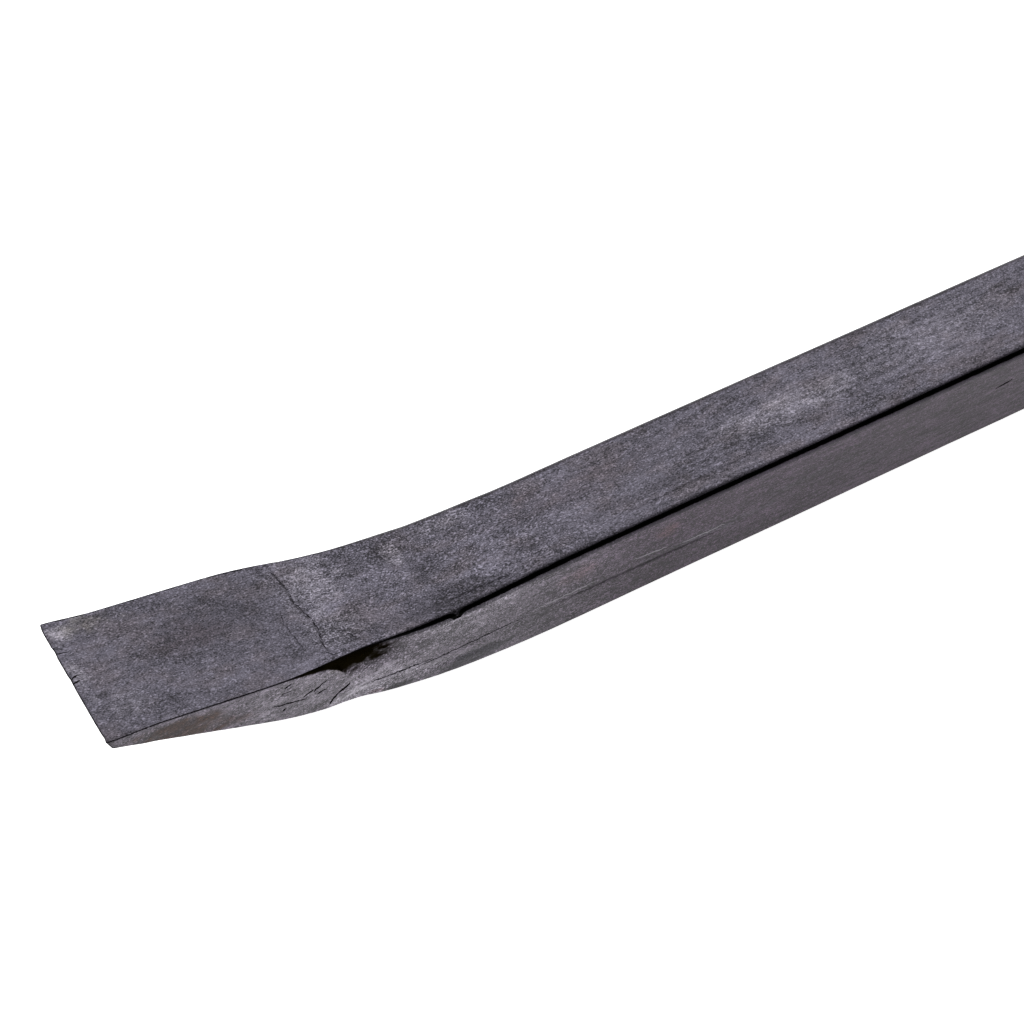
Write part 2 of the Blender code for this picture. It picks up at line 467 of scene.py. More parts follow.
@dataclass
class ForgedBar:
    """The whole forging: chisel blade, heel, square shank and round handle in one skin."""

    length: float
    stock: float
    blade_top: Bend = Bend(63.4 * MM, 93.3 * MM, math.radians(11.6))
    heel: Bend = Bend(42.5 * MM, 117.3 * MM, math.radians(26.1))
    spreads: tuple[Spread, ...] = (
        Spread(1.8 * MM, 36.7 * MM, 62.4 * MM),
        Spread(1.2 * MM, 64.1 * MM, 115.0 * MM),
        Spread(0.6 * MM, 0.0, 12.7 * MM),
    )
    edge_slant: float = 0.38
    slant_length: float = 9.0 * MM
    shank_corner: float = 2.0 * MM
    lower_corner: float = 0.8 * MM
    blade_corner: float = 0.35 * MM
    corner_start: float = 45.0 * MM
    corner_end: float = 85.0 * MM
    square_end: float = 480.0 * MM
    round_start: float = 600.0 * MM
    round_diameter: float = 23.5 * MM
    end_diameter: float = 19.0 * MM
    end_rounding: float = 6.0 * MM
    edge_rounding: float = 0.25 * MM
    clearance: float = 0.06 * MM
    margin: float = 0.004
    # how much of the painted dark corner reflection the far upper corner gets
    far_corner: float = 0.55
    hollow_depth: float = 1.2 * MM
    facet_along: tuple[float, ...] = mm(34.0, 43.5, 50.1, 52.8, 56.3, 58.5, 61.0)
    facet_down: tuple[float, ...] = mm(-0.4, 0.9, 2.5, 4.4, 8.7, 12.0, 20.0)
    grid: RingGrid = RingGrid()

    def size_at(self, distance: np.ndarray) -> tuple[np.ndarray, ...]:
        """Half width, underside, top and corner radius of the smooth forging.

        Args:
            distance: distances from the blade's edge.

        Returns:
            Four arrays in metres.
        """
        rounding = smoothstep(self.square_end, self.round_start, distance)
        along = np.clip(distance - self.round_start, 0.0, None) / (self.length - self.round_start)
        neck = self.stock + (self.round_diameter - self.stock) * rounding
        half = (neck + (self.end_diameter - self.round_diameter) * along) / 2.0
        middle = self.stock / 2.0
        spread = sum(step.width(distance) for step in self.spreads)
        corner = smoothstep(self.corner_start, self.corner_end, distance)
        radius = self.blade_corner + (self.shank_corner - self.blade_corner) * corner
        radius = radius + (half * 0.98 - radius) * rounding
        top = middle + half + self.blade_top.height(distance)
        underside = middle - half + self.heel.height(distance)
        return half + spread, underside, top, radius

    def inset_at(self, distance: np.ndarray) -> np.ndarray:
        """How much smaller each ring is, where the edge and the handle's end are rounded."""
        from_edge = np.clip(1.0 - distance / self.edge_rounding, 0.0, 1.0)
        edge = self.edge_rounding * (1.0 - np.sqrt(1.0 - from_edge**2))
        from_end = np.clip(1.0 - (self.length - distance) / self.end_rounding, 0.0, 1.0)
        return edge + self.end_rounding * (1.0 - np.sqrt(1.0 - from_end**2))

    def ring_distances(self) -> np.ndarray:
        """Distances of all rings, with more of them round the edge and the handle's end."""
        body = self.grid.distances(self.heel.end, 300.0 * MM, self.length - self.end_rounding)
        turn = np.linspace(0.0, math.pi / 2.0, 8)
        edge = self.edge_rounding * (1.0 - np.cos(turn[:-1]))
        end = self.length - self.end_rounding * (1.0 - np.sin(turn[1:]))
        return np.concatenate([edge, body[body > self.edge_rounding], end])

    def outline(self, distance: np.ndarray) -> Rings:
        """Smooth skin as rings of rounded rectangles, anticlockwise seen from the handle.

        Args:
            distance: distances of the rings from the blade's edge.

        Returns:
            The skin with its normals and its places on each face.
        """
        half, underside, top, radius = (value[:, None] for value in self.size_at(distance))
        inset = self.inset_at(distance)[:, None] + self.clearance
        half, underside, top = half - inset, underside + inset, top - inset
        radius = np.clip(radius - inset, 0.08 * MM, None)
        flats = (self.grid.top, self.grid.side, self.grid.underside, self.grid.side)
        centres = ((1, 1), (-1, 1), (-1, -1), (1, -1))
        columns: list[tuple[np.ndarray, ...]] = []
        squarer = self.lower_corner + 2.0 * np.clip(radius - self.shank_corner, 0.0, None)
        lower = np.minimum(radius, squarer)
        for quarter, (side, level) in enumerate(centres):
            round_off = radius if level > 0 else lower
            centre_y = side * (half - round_off)
            centre_z = np.where(level > 0, top - round_off, underside + round_off)
            turns = (quarter + np.linspace(0.0, 1.0, self.grid.corner + 1)) * math.pi / 2.0
            for turn in turns:
                normal_y, normal_z = math.cos(turn), math.sin(turn)
                # how far an upper corner turns towards the side, which places the painted dark reflection
                # band; weaker on the far corner
                down_side = 0.0
                if level > 0:
                    down_side = abs(normal_y) if side < 0 else abs(normal_y) * self.far_corner
                y = centre_y + round_off * normal_y
                z = centre_z + round_off * normal_z
                columns.append((y, z, normal_y, normal_z, math.asin(down_side) / (math.pi / 2.0)))
            next_side, next_level = centres[(quarter + 1) % 4]
            end_turn = turns[-1]
            next_round = radius if next_level > 0 else lower
            next_y = next_side * (half - next_round) + next_round * math.cos(end_turn)
            next_z = np.where(next_level > 0, top - next_round, underside + next_round)
            next_z = next_z + next_round * math.sin(end_turn)
            last_y, last_z = columns[-1][:2]
            shares = np.arange(1, flats[quarter]) / flats[quarter]
            for share in (self.margin, *shares, 1.0 - self.margin):
                y = last_y + (next_y - last_y) * share
                z = last_z + (next_z - last_z) * share
                columns.append((y, z, math.cos(end_turn), math.sin(end_turn), 0.0))
        shape = (len(distance), len(columns))
        y = np.concatenate([column[0] for column in columns], axis=1)
        z = np.concatenate([column[1] for column in columns], axis=1)
        normal_y = np.broadcast_to(np.array([column[2] for column in columns]), shape)
        normal_z = np.broadcast_to(np.array([column[3] for column in columns]), shape)
        corner = np.broadcast_to(np.array([column[4] for column in columns]), shape)
        along = np.broadcast_to(distance[:, None], shape).copy()
        return Rings(along, y, z, normal_y, normal_z, top - z, corner)

    def facet_gap(self, rings: Rings) -> np.ndarray:
        """How far above the upper edge of the trimmed side facet each vertex is, below 0 on the facet."""
        return np.interp(rings.distance, self.facet_along, self.facet_down) - rings.below_top

    def side_hollow(self, rings: Rings) -> np.ndarray:
        """Depth of the hollow below the upper edge, where the trimmed side facet runs out in a point.

        Args:
            rings: the skin.

        Returns:
            Depths on both sides, before they are limited to the side faces.
        """
        above_facet = smoothstep(0.0, 1.4 * MM, self.facet_gap(rings))
        lip = smoothstep(0.0, 0.8 * MM, rings.below_top)
        return self.hollow_depth * above_facet * lip * self.hollow_fade(rings)

    @staticmethod
    def hollow_fade(rings: Rings) -> np.ndarray:
        """How the hollow runs out downwards and towards the handle."""
        low = 1.0 - smoothstep(2.5 * MM, 9.5 * MM, rings.below_top)
        return low * (1.0 - smoothstep(51.0 * MM, 78.0 * MM, rings.distance))

    def hammer(self, rings: Rings) -> None:
        """Work the smooth skin: hollows, dents, die steps and the uneven surface of the forging.

        Args:
            rings: the skin, which is changed.
        """
        points = rings.points()
        shape = rings.distance.shape
        top_share = np.clip(rings.normal_z, 0.0, 1.0)
        near_share = np.clip(-rings.normal_y, 0.0, 1.0)
        far_share = np.clip(rings.normal_y, 0.0, 1.0)

        depth = np.zeros(shape)
        for dent in TOP_DENTS:
            depth += top_share * dent.depth_at(rings.distance, rings.y)
        for step in DIE_STEPS:
            depth += top_share * step.depth_at(rings.distance, rings.y)
        for crack in CRACKS:
            depth += top_share * crack.depth_at(rings.distance, rings.y)
        for dent in SIDE_DENTS:
            share = near_share if dent.face is BarFace.NEAR else far_share
            depth += share * dent.depth_at(rings.distance, rings.below_top)

        hollow = self.side_hollow(rings)
        depth += (near_share + 0.8 * far_share) * hollow

        broad = lattice_noise(points, (34.0 * MM, 11.0 * MM, 11.0 * MM), 3).reshape(shape)
        middle = lattice_noise(points, (9.0 * MM, 5.0 * MM, 5.0 * MM), 4).reshape(shape)
        fine = lattice_noise(points, (3.2 * MM, 2.1 * MM, 2.1 * MM), 5).reshape(shape)
        pitted = lattice_noise(points, (1.5 * MM, 1.3 * MM, 1.3 * MM), 6).reshape(shape)
        busy = 0.55 + 0.45 * (1.0 - smoothstep(60.0 * MM, 130.0 * MM, rings.distance))
        uneven = 0.050 * MM * broad + busy * (0.040 * middle + 0.022 * fine + 0.016 * pitted) * MM
        quiet = np.clip(rings.distance / (6.0 * MM), 0.25, 1.0)
        depth += quiet * uneven
        depth = np.clip(depth, -self.clearance, None)
        rings.sink(depth)

    @staticmethod
    def tone_patches(rings: Rings) -> dict[str, np.ndarray]:
        """How strong the tone patches of each tint are at each vertex, painted highlights and shade among
        them.

        Args:
            rings: the skin.

        Returns:
            Strengths from 0 to 1 by the tint's name.
        """
        points = rings.points()
        shape = rings.distance.shape
        coarse = lattice_noise(points, (3.4 * MM, 1.7 * MM, 1.7 * MM), 31).reshape(shape)
        fine = lattice_noise(points, (1.5 * MM, 0.9 * MM, 0.9 * MM), 32).reshape(shape)
        uneven = 0.65 * coarse + 0.5 * fine
        shares = {
            BarFace.TOP: np.clip(rings.normal_z, 0.0, 1.0),
            BarFace.NEAR: np.clip(-rings.normal_y, 0.0, 1.0),
            BarFace.FAR: np.clip(rings.normal_y, 0.0, 1.0),
        }
        clear = {tint.value: np.ones(shape) for tint in Tint}
        for tone_patch in TONE_PATCHES:
            across = rings.y if tone_patch.face is BarFace.TOP else rings.below_top
            mask = tone_patch.mask_at(rings.distance, across, uneven) * shares[tone_patch.face]
            clear[tone_patch.tint.value] = clear[tone_patch.tint.value] * (1.0 - mask)
        return {name: 1.0 - value for name, value in clear.items()}

    def wear_edge(self, rings: Rings) -> None:
        """Cut the blade's edge at a slant and make it uneven, with small chips and one worn corner."""
        across = rings.y
        points = np.stack([across.ravel(), np.zeros(across.size), rings.z.ravel()], axis=1)
        ragged = lattice_noise(points, (0.9 * MM, MM, 0.8 * MM), 12).reshape(across.shape)
        chips = 0.018 * MM * (1.0 + ragged)
        for place, width, depth in EDGE_CHIPS:
            chips += depth * np.exp(-(((across - place) / width) ** 2))
        chips *= 1.0 - smoothstep(0.0, 1.6 * MM, rings.distance)
        slant = self.edge_slant * rings.below_top
        worn = 0.3 * MM * smoothstep(14.2 * MM, 16.3 * MM, across)
        reach = 1.0 - smoothstep(0.0, self.slant_length, rings.distance)
        rings.distance = rings.distance + chips + (slant + worn) * reach

    def build(self) -> bpy.types.Object:
        """Make the skin's mesh, with attributes that say where corners, sides and hollows are.

        Returns:
            The bar's object.
        """
        rings = self.outline(self.ring_distances())
        tone_patches = self.tone_patches(rings)
        hollow = self.hollow_fade(rings)
        facet_gap = np.clip(self.facet_gap(rings) / MM, -6.0, 6.0)
        self.hammer(rings)
        square = 1.0 - smoothstep(self.square_end, self.square_end + 60.0 * MM, rings.distance)
        # where the painted dark reflection lies on the upper corners: none on the round handle, and broken
        # at its gaps
        corner = rings.corner * square
        for along, length, share in PAINTED_REFLECTION_GAPS:
            corner = corner * (1.0 - share * np.exp(-(((rings.distance - along) / length) ** 2)))
        side = np.abs(rings.normal_y) * square
        edge = 1.0 - smoothstep(0.1 * MM, 0.5 * MM, rings.distance)
        self.wear_edge(rings)

        points = rings.points()
        points[:, 0] += CAD_BOX[0][0]
        points[:, 2] = np.clip(points[:, 2] - self.clearance * 0.8, 0.0, None)
        mesh = bpy.data.meshes.new("bar_forging")
        mesh.from_pydata(points.tolist(), [], self.faces(*rings.distance.shape))
        values = {
            "corner": corner,
            "side": side,
            "hollow": hollow * side,
            "facet_gap": facet_gap,
            "edge": edge,
            **tone_patches,
        }
        for name, value in values.items():
            layer = mesh.attributes.new(name, "FLOAT", "POINT")
            layer.data.foreach_set("value", value.ravel().astype(np.float32))
        mesh.shade_smooth()
        mesh.set_sharp_from_angle(angle=math.radians(50.0))
        bar = bpy.data.objects.new("bar_forging", mesh)
        bpy.context.scene.collection.objects.link(bar)
        return bar

    def place_on(self, face: BarFace, along: float, across: float) -> Colour:
        """Place on one of the long faces, in the bar's own frame.

        Args:
            face: the face.
            along: distance from the blade's edge.
            across: Y on the top face, or distance below the top edge on a side.

        Returns:
            The place in metres.
        """
        half, _, top, _ = (float(value[0]) for value in self.size_at(np.array([along])))
        x = CAD_BOX[0][0] + along
        if face is BarFace.TOP:
            return (x, across, top)
        return (x, -half if face is BarFace.NEAR else half, top - across)

    @staticmethod
    def faces(rings: int, around: int) -> list[tuple[int, ...]]:
        """Quads between neighbouring rings and one cap on each end, all facing out.

        Args:
            rings: number of rings.
            around: vertices in each ring.

        Returns:
            Vertex numbers of every face.
        """
        index = np.arange(rings * around).reshape(rings, around)
        after = np.roll(index, -1, axis=1)
        quads = np.stack([index[:-1], after[:-1], after[1:], index[1:]], axis=-1)
        caps = [tuple(index[0][::-1].tolist()), tuple(index[-1].tolist())]
        return [tuple(quad) for quad in quads.reshape(-1, 4).tolist()] + caps


class NodeSheet:
    """Adds nodes to one node tree and joins them."""

    def __init__(self, tree: bpy.types.NodeTree) -> None:
        """Keep the tree that nodes are added to."""
        self.tree = tree

    def add(self, kind: str, **settings: object) -> bpy.types.Node:
        """Add a node of a kind and set its named settings."""
        node = self.tree.nodes.new(kind)
        for name, value in settings.items():
            setattr(node, name, value)
        return node

    def feed(self, socket: bpy.types.NodeSocket, value: object) -> None:
        """Join a value to a socket, or set the socket when the value is a plain one."""
        if isinstance(value, bpy.types.NodeSocket):
            self.tree.links.new(value, socket)
        elif value is not None:
            socket.default_value = value

    def math(self, operation: str, first: object, second: object = None, clamp: bool = False) -> object:
        """Join one or two values through a Math node.

        Args:
            operation: the node's operation.
            first: socket or number.
            second: socket or number, for operations that take two.
            clamp: keep the result from 0 to 1.

        Returns:
            The result's socket.
        """
        node = self.add("ShaderNodeMath", operation=operation, use_clamp=clamp)
        self.feed(node.inputs[0], first)
        self.feed(node.inputs[1], second)
        return node.outputs[0]

    def vector(self, operation: str, first: object, second: object = None, output: int = 0) -> object:
        """Join one or two vectors through a Vector Math node and return one of its outputs."""
        node = self.add("ShaderNodeVectorMath", operation=operation)
        self.feed(node.inputs[0], first)
        if operation == "SCALE":
            self.feed(node.inputs["Scale"], second)
        else:
            self.feed(node.inputs[1], second)
        return node.outputs[output]

    def remap(self, value: object, low: float, high: float, start: float = 0.0, end: float = 1.0) -> object:
        """Ease a value from its range low..high to start..end.

        Args:
            value: socket to remap.
            low: value that gives start.
            high: value that gives end.
            start: result at low.
            end: result at high.

        Returns:
            The remapped socket.
        """
        node = self.add("ShaderNodeMapRange", interpolation_type="SMOOTHSTEP")
        for name, item in zip(("Value", "From Min", "From Max", "To Min", "To Max"),
                              (value, low, high, start, end)):
            self.feed(node.inputs[name], item)
        return node.outputs[0]

    def mix(self, factor: object, first: object, second: object, blend: str = "MIX") -> object:
        """Blend two colours by a factor and return the result's socket."""
        node = self.add("ShaderNodeMix", data_type="RGBA", blend_type=blend)
        self.feed(node.inputs["Factor"], factor)
        self.feed(node.inputs["A"], opaque(first))
        self.feed(node.inputs["B"], opaque(second))
        return node.outputs["Result"]

    def noise(self, place: object, cell: float, detail: float = 2.0, roughness: float = 0.5) -> object:
        """Noise with cells of one size over places in metres.

        Args:
            place: vector socket.
            cell: size of one cell in metres.
            detail: how many finer layers are added.
            roughness: how strong the finer layers are.

        Returns:
            The noise's value socket.
        """
        node = self.add("ShaderNodeTexNoise")
        self.feed(node.inputs["Vector"], place)
        node.inputs["Scale"].default_value = 1.0 / cell
        node.inputs["Detail"].default_value = detail
        node.inputs["Roughness"].default_value = roughness
        return node.outputs["Fac"]

    def stretched(self, place: object, along: float) -> object:
        """Places squeezed along the bar, so that a pattern on them is drawn out by a factor."""
        return self.vector("MULTIPLY", place, (1.0 / along, 1.0, 1.0))

    def group(self, kind: bpy.types.NodeTree, **values: object) -> bpy.types.Node:
        """Place a node group and give its inputs their values by name."""
        node = self.add("ShaderNodeGroup", node_tree=kind)
        for name, value in values.items():
            self.feed(node.inputs[name.replace("_", " ").title()], value)
        return node


def opaque(colour: object) -> object:
    """Give a plain three-part colour the fourth part that colour sockets take."""
    return (*colour, 1.0) if isinstance(colour, tuple) and len(colour) == 3 else colour


GroupParts = tuple[bpy.types.NodeTree, NodeSheet, bpy.types.Node, bpy.types.Node]


def new_group(name: str, inputs: dict[str, str], outputs: dict[str, str]) -> GroupParts:
    """Start a shader node group with named sockets.

    Args:
        name: the group's name.
        inputs: socket types by name.
        outputs: socket types by name.

    Returns:
        The group, its sheet, its input node and its output node.
    """
    tree = bpy.data.node_groups.new(name, "ShaderNodeTree")
    for label, kind in inputs.items():
        tree.interface.new_socket(label, in_out="INPUT", socket_type=kind)
    for label, kind in outputs.items():
        tree.interface.new_socket(label, in_out="OUTPUT", socket_type=kind)
    sheet = NodeSheet(tree)
    return tree, sheet, sheet.add("NodeGroupInput"), sheet.add("NodeGroupOutput")


FLOAT, VECTOR = "NodeSocketFloat", "NodeSocketVector"


def scale_grain_group() -> bpy.types.NodeTree:
    """Build the group with the patterns of forge scale, from broad clouds to fine grain."""
    patterns = ("Clouds", "Mottle", "Grain", "Streaks", "Flecks")
    tree, sheet, given, result = new_group("scale_grain", {"Place": VECTOR}, dict.fromkeys(patterns, FLOAT))
    place = given.outputs["Place"]
    sheet.feed(result.inputs["Clouds"], sheet.noise(sheet.stretched(place, 2.4), 8.0 * MM, 3.0, 0.6))
    sheet.feed(result.inputs["Mottle"], sheet.noise(sheet.stretched(place, 1.9), 1.5 * MM, 2.0, 0.6))
    sheet.feed(result.inputs["Grain"], sheet.noise(sheet.stretched(place, 1.7), 0.24 * MM, 1.0, 0.6))
    sheet.feed(result.inputs["Streaks"], sheet.noise(sheet.stretched(place, 9.0), 0.9 * MM, 2.0, 0.6))
    flecks = sheet.noise(sheet.stretched(place, 1.7), 0.33 * MM, 0.0, 0.5)
    sheet.feed(result.inputs["Flecks"], sheet.remap(flecks, 0.56, 0.80))
    return tree


def hairline_group() -> bpy.types.NodeTree:
    """Build the group that masks a thin line between two places, for gouges, scratches and painted dark edge
    reflections.
    """
    tree, sheet, given, result = new_group(
        "hairline",
        {"Place": VECTOR, "Start": VECTOR, "End": VECTOR, "Width": FLOAT},
        {"Mask": FLOAT},
    )
    run = sheet.vector("SUBTRACT", given.outputs["End"], given.outputs["Start"])
    offset = sheet.vector("SUBTRACT", given.outputs["Place"], given.outputs["Start"])
    square = sheet.vector("DOT_PRODUCT", run, run, output=1)
    share = sheet.math("DIVIDE", sheet.vector("DOT_PRODUCT", offset, run, output=1), square, clamp=True)
    nearest = sheet.vector("SCALE", run, share)
    gap = sheet.vector("LENGTH", sheet.vector("SUBTRACT", offset, nearest), output=1)
    taper = sheet.math("MULTIPLY", share, sheet.math("SUBTRACT", 1.0, share))
    taper = sheet.math("SQRT", sheet.math("MULTIPLY", taper, 4.0))
    width = sheet.math("MAXIMUM", sheet.math("MULTIPLY", given.outputs["Width"], taper), 0.001 * MM)
    mask = sheet.math("SUBTRACT", 1.0, sheet.math("DIVIDE", gap, width))
    sheet.feed(result.inputs["Mask"], sheet.math("MULTIPLY", mask, LINE_CRISPNESS, clamp=True))
    return tree


@dataclass(frozen=True)
class Line:
    """A scratch, gouge or seam on one face, or a painted dark edge reflection."""

    face: BarFace
    tint: Tint
    start: tuple[float, float]
    end: tuple[float, float]
    width: float
    strength: float


LINES = (
    # gouges and scratches on the trimmed facet
    Line(BarFace.NEAR, Tint.NEAR_BLACK, mm(50.1, 15.8), mm(53.0, 12.5), 0.48 * MM, 1.00),
    Line(BarFace.NEAR, Tint.NEAR_BLACK, mm(52.3, 13.1), mm(56.0, 10.8), 0.51 * MM, 1.00),
    Line(BarFace.NEAR, Tint.NEAR_BLACK, mm(39.7, 3.0), mm(41.6, 1.9), 0.36 * MM, 1.00),
    Line(BarFace.NEAR, Tint.NEAR_BLACK, mm(38.9, 4.6), mm(41.2, 4.4), 0.32 * MM, 1.00),
    Line(BarFace.NEAR, Tint.NEAR_BLACK, mm(44.0, 8.8), mm(46.6, 7.4), 0.36 * MM, 1.00),
    Line(BarFace.NEAR, Tint.NEAR_BLACK, mm(46.4, 8.4), mm(50.6, 5.4), 0.32 * MM, 1.00),
    Line(BarFace.NEAR, Tint.NEAR_BLACK, mm(47.2, 9.6), mm(50.0, 9.4), 0.43 * MM, 1.00),
    Line(BarFace.NEAR, Tint.NEAR_BLACK, mm(36.8, 8.0), mm(45.0, 9.6), 0.29 * MM, 1.00),
    Line(BarFace.NEAR, Tint.NEAR_BLACK, mm(39.2, 11.2), mm(40.0, 10.2), 0.41 * MM, 1.00),
    # drawn-out seams and scratches along the near side
    Line(BarFace.NEAR, Tint.NEAR_BLACK, mm(58.0, 14.0), mm(76.0, 13.4), 0.29 * MM, 0.84),
    Line(BarFace.NEAR, Tint.NEAR_BLACK, mm(70.0, 14.6), mm(101.0, 14.2), 0.29 * MM, 0.76),
    Line(BarFace.NEAR, Tint.BRIGHT, mm(101.5, 13.4), mm(118.0, 13.5), 0.23 * MM, 1.00),
    Line(BarFace.NEAR, Tint.NEAR_BLACK, mm(106.0, 15.0), mm(152.0, 16.0), 0.69 * MM, 0.41),
    Line(BarFace.NEAR, Tint.BRIGHT, mm(128.0, 12.0), mm(137.0, 13.0), 0.20 * MM, 1.00),
    Line(BarFace.NEAR, Tint.BRIGHT, mm(141.0, 14.2), mm(153.0, 14.6), 0.23 * MM, 1.00),
    Line(BarFace.NEAR, Tint.NEAR_BLACK, mm(228.0, 10.6), mm(233.0, 9.4), 0.38 * MM, 0.72),
    # painted dark reflection along the far edge of the blade, then the border of the deepest hammer dent
    Line(BarFace.TOP, Tint.NEAR_BLACK, mm(0.0, 16.0), mm(12.0, 15.5), 0.26 * MM, 0.90),
    Line(BarFace.TOP, Tint.NEAR_BLACK, mm(12.0, 15.5), mm(37.0, 15.4), 0.24 * MM, 0.70),
    Line(BarFace.TOP, Tint.NEAR_BLACK, mm(37.0, 15.4), mm(50.0, 14.5), 0.24 * MM, 0.70),
    Line(BarFace.TOP, Tint.NEAR_BLACK, mm(50.0, 14.5), mm(62.0, 13.4), 0.24 * MM, 0.70),
    Line(BarFace.TOP, Tint.NEAR_BLACK, mm(73.4, 11.2), mm(75.0, 5.6), 0.22 * MM, 0.55),
    Line(BarFace.TOP, Tint.NEAR_BLACK, mm(75.0, 5.6), mm(77.2, 2.4), 0.22 * MM, 0.55),
    # nicks that run in from the blade's edge
    Line(BarFace.TOP, Tint.NEAR_BLACK, mm(-0.2, 9.2), mm(1.8, 8.8), 0.20 * MM, 1.00),
    Line(BarFace.TOP, Tint.NEAR_BLACK, mm(-0.2, 8.1), mm(2.6, 7.6), 0.20 * MM, 0.96),
    Line(BarFace.TOP, Tint.NEAR_BLACK, mm(-0.2, 0.7), mm(2.2, 1.4), 0.20 * MM, 1.00),
    Line(BarFace.TOP, Tint.NEAR_BLACK, mm(-0.2, -0.6), mm(1.8, 0.1), 0.25 * MM, 1.00),
    # fine cracks and seams on top
    Line(BarFace.TOP, Tint.NEAR_BLACK, mm(58.2, -8.6), mm(59.2, -10.6), 0.20 * MM, 0.84),
    Line(BarFace.TOP, Tint.NEAR_BLACK, mm(49.2, -10.8), mm(53.4, -13.1), 0.18 * MM, 0.72),
    Line(BarFace.TOP, Tint.NEAR_BLACK, mm(47.8, 1.4), mm(46.6, -1.6), 0.15 * MM, 0.72),
    Line(BarFace.TOP, Tint.NEAR_BLACK, mm(46.6, -1.2), mm(47.5, -8.8), 0.15 * MM, 0.60),
    Line(BarFace.TOP, Tint.NEAR_BLACK, mm(82.0, -9.4), mm(99.0, -9.8), 0.38 * MM, 0.54),
    Line(BarFace.TOP, Tint.NEAR_BLACK, mm(120.0, -8.0), mm(176.0, -7.0), 0.35 * MM, 0.36),
)

CRACK_LINES = tuple(
    Line(BarFace.TOP, Tint.NEAR_BLACK, start, end, 0.16 * MM, 0.90)
    for start, end in zip(CRACKS[0].places, CRACKS[0].places[1:])
)


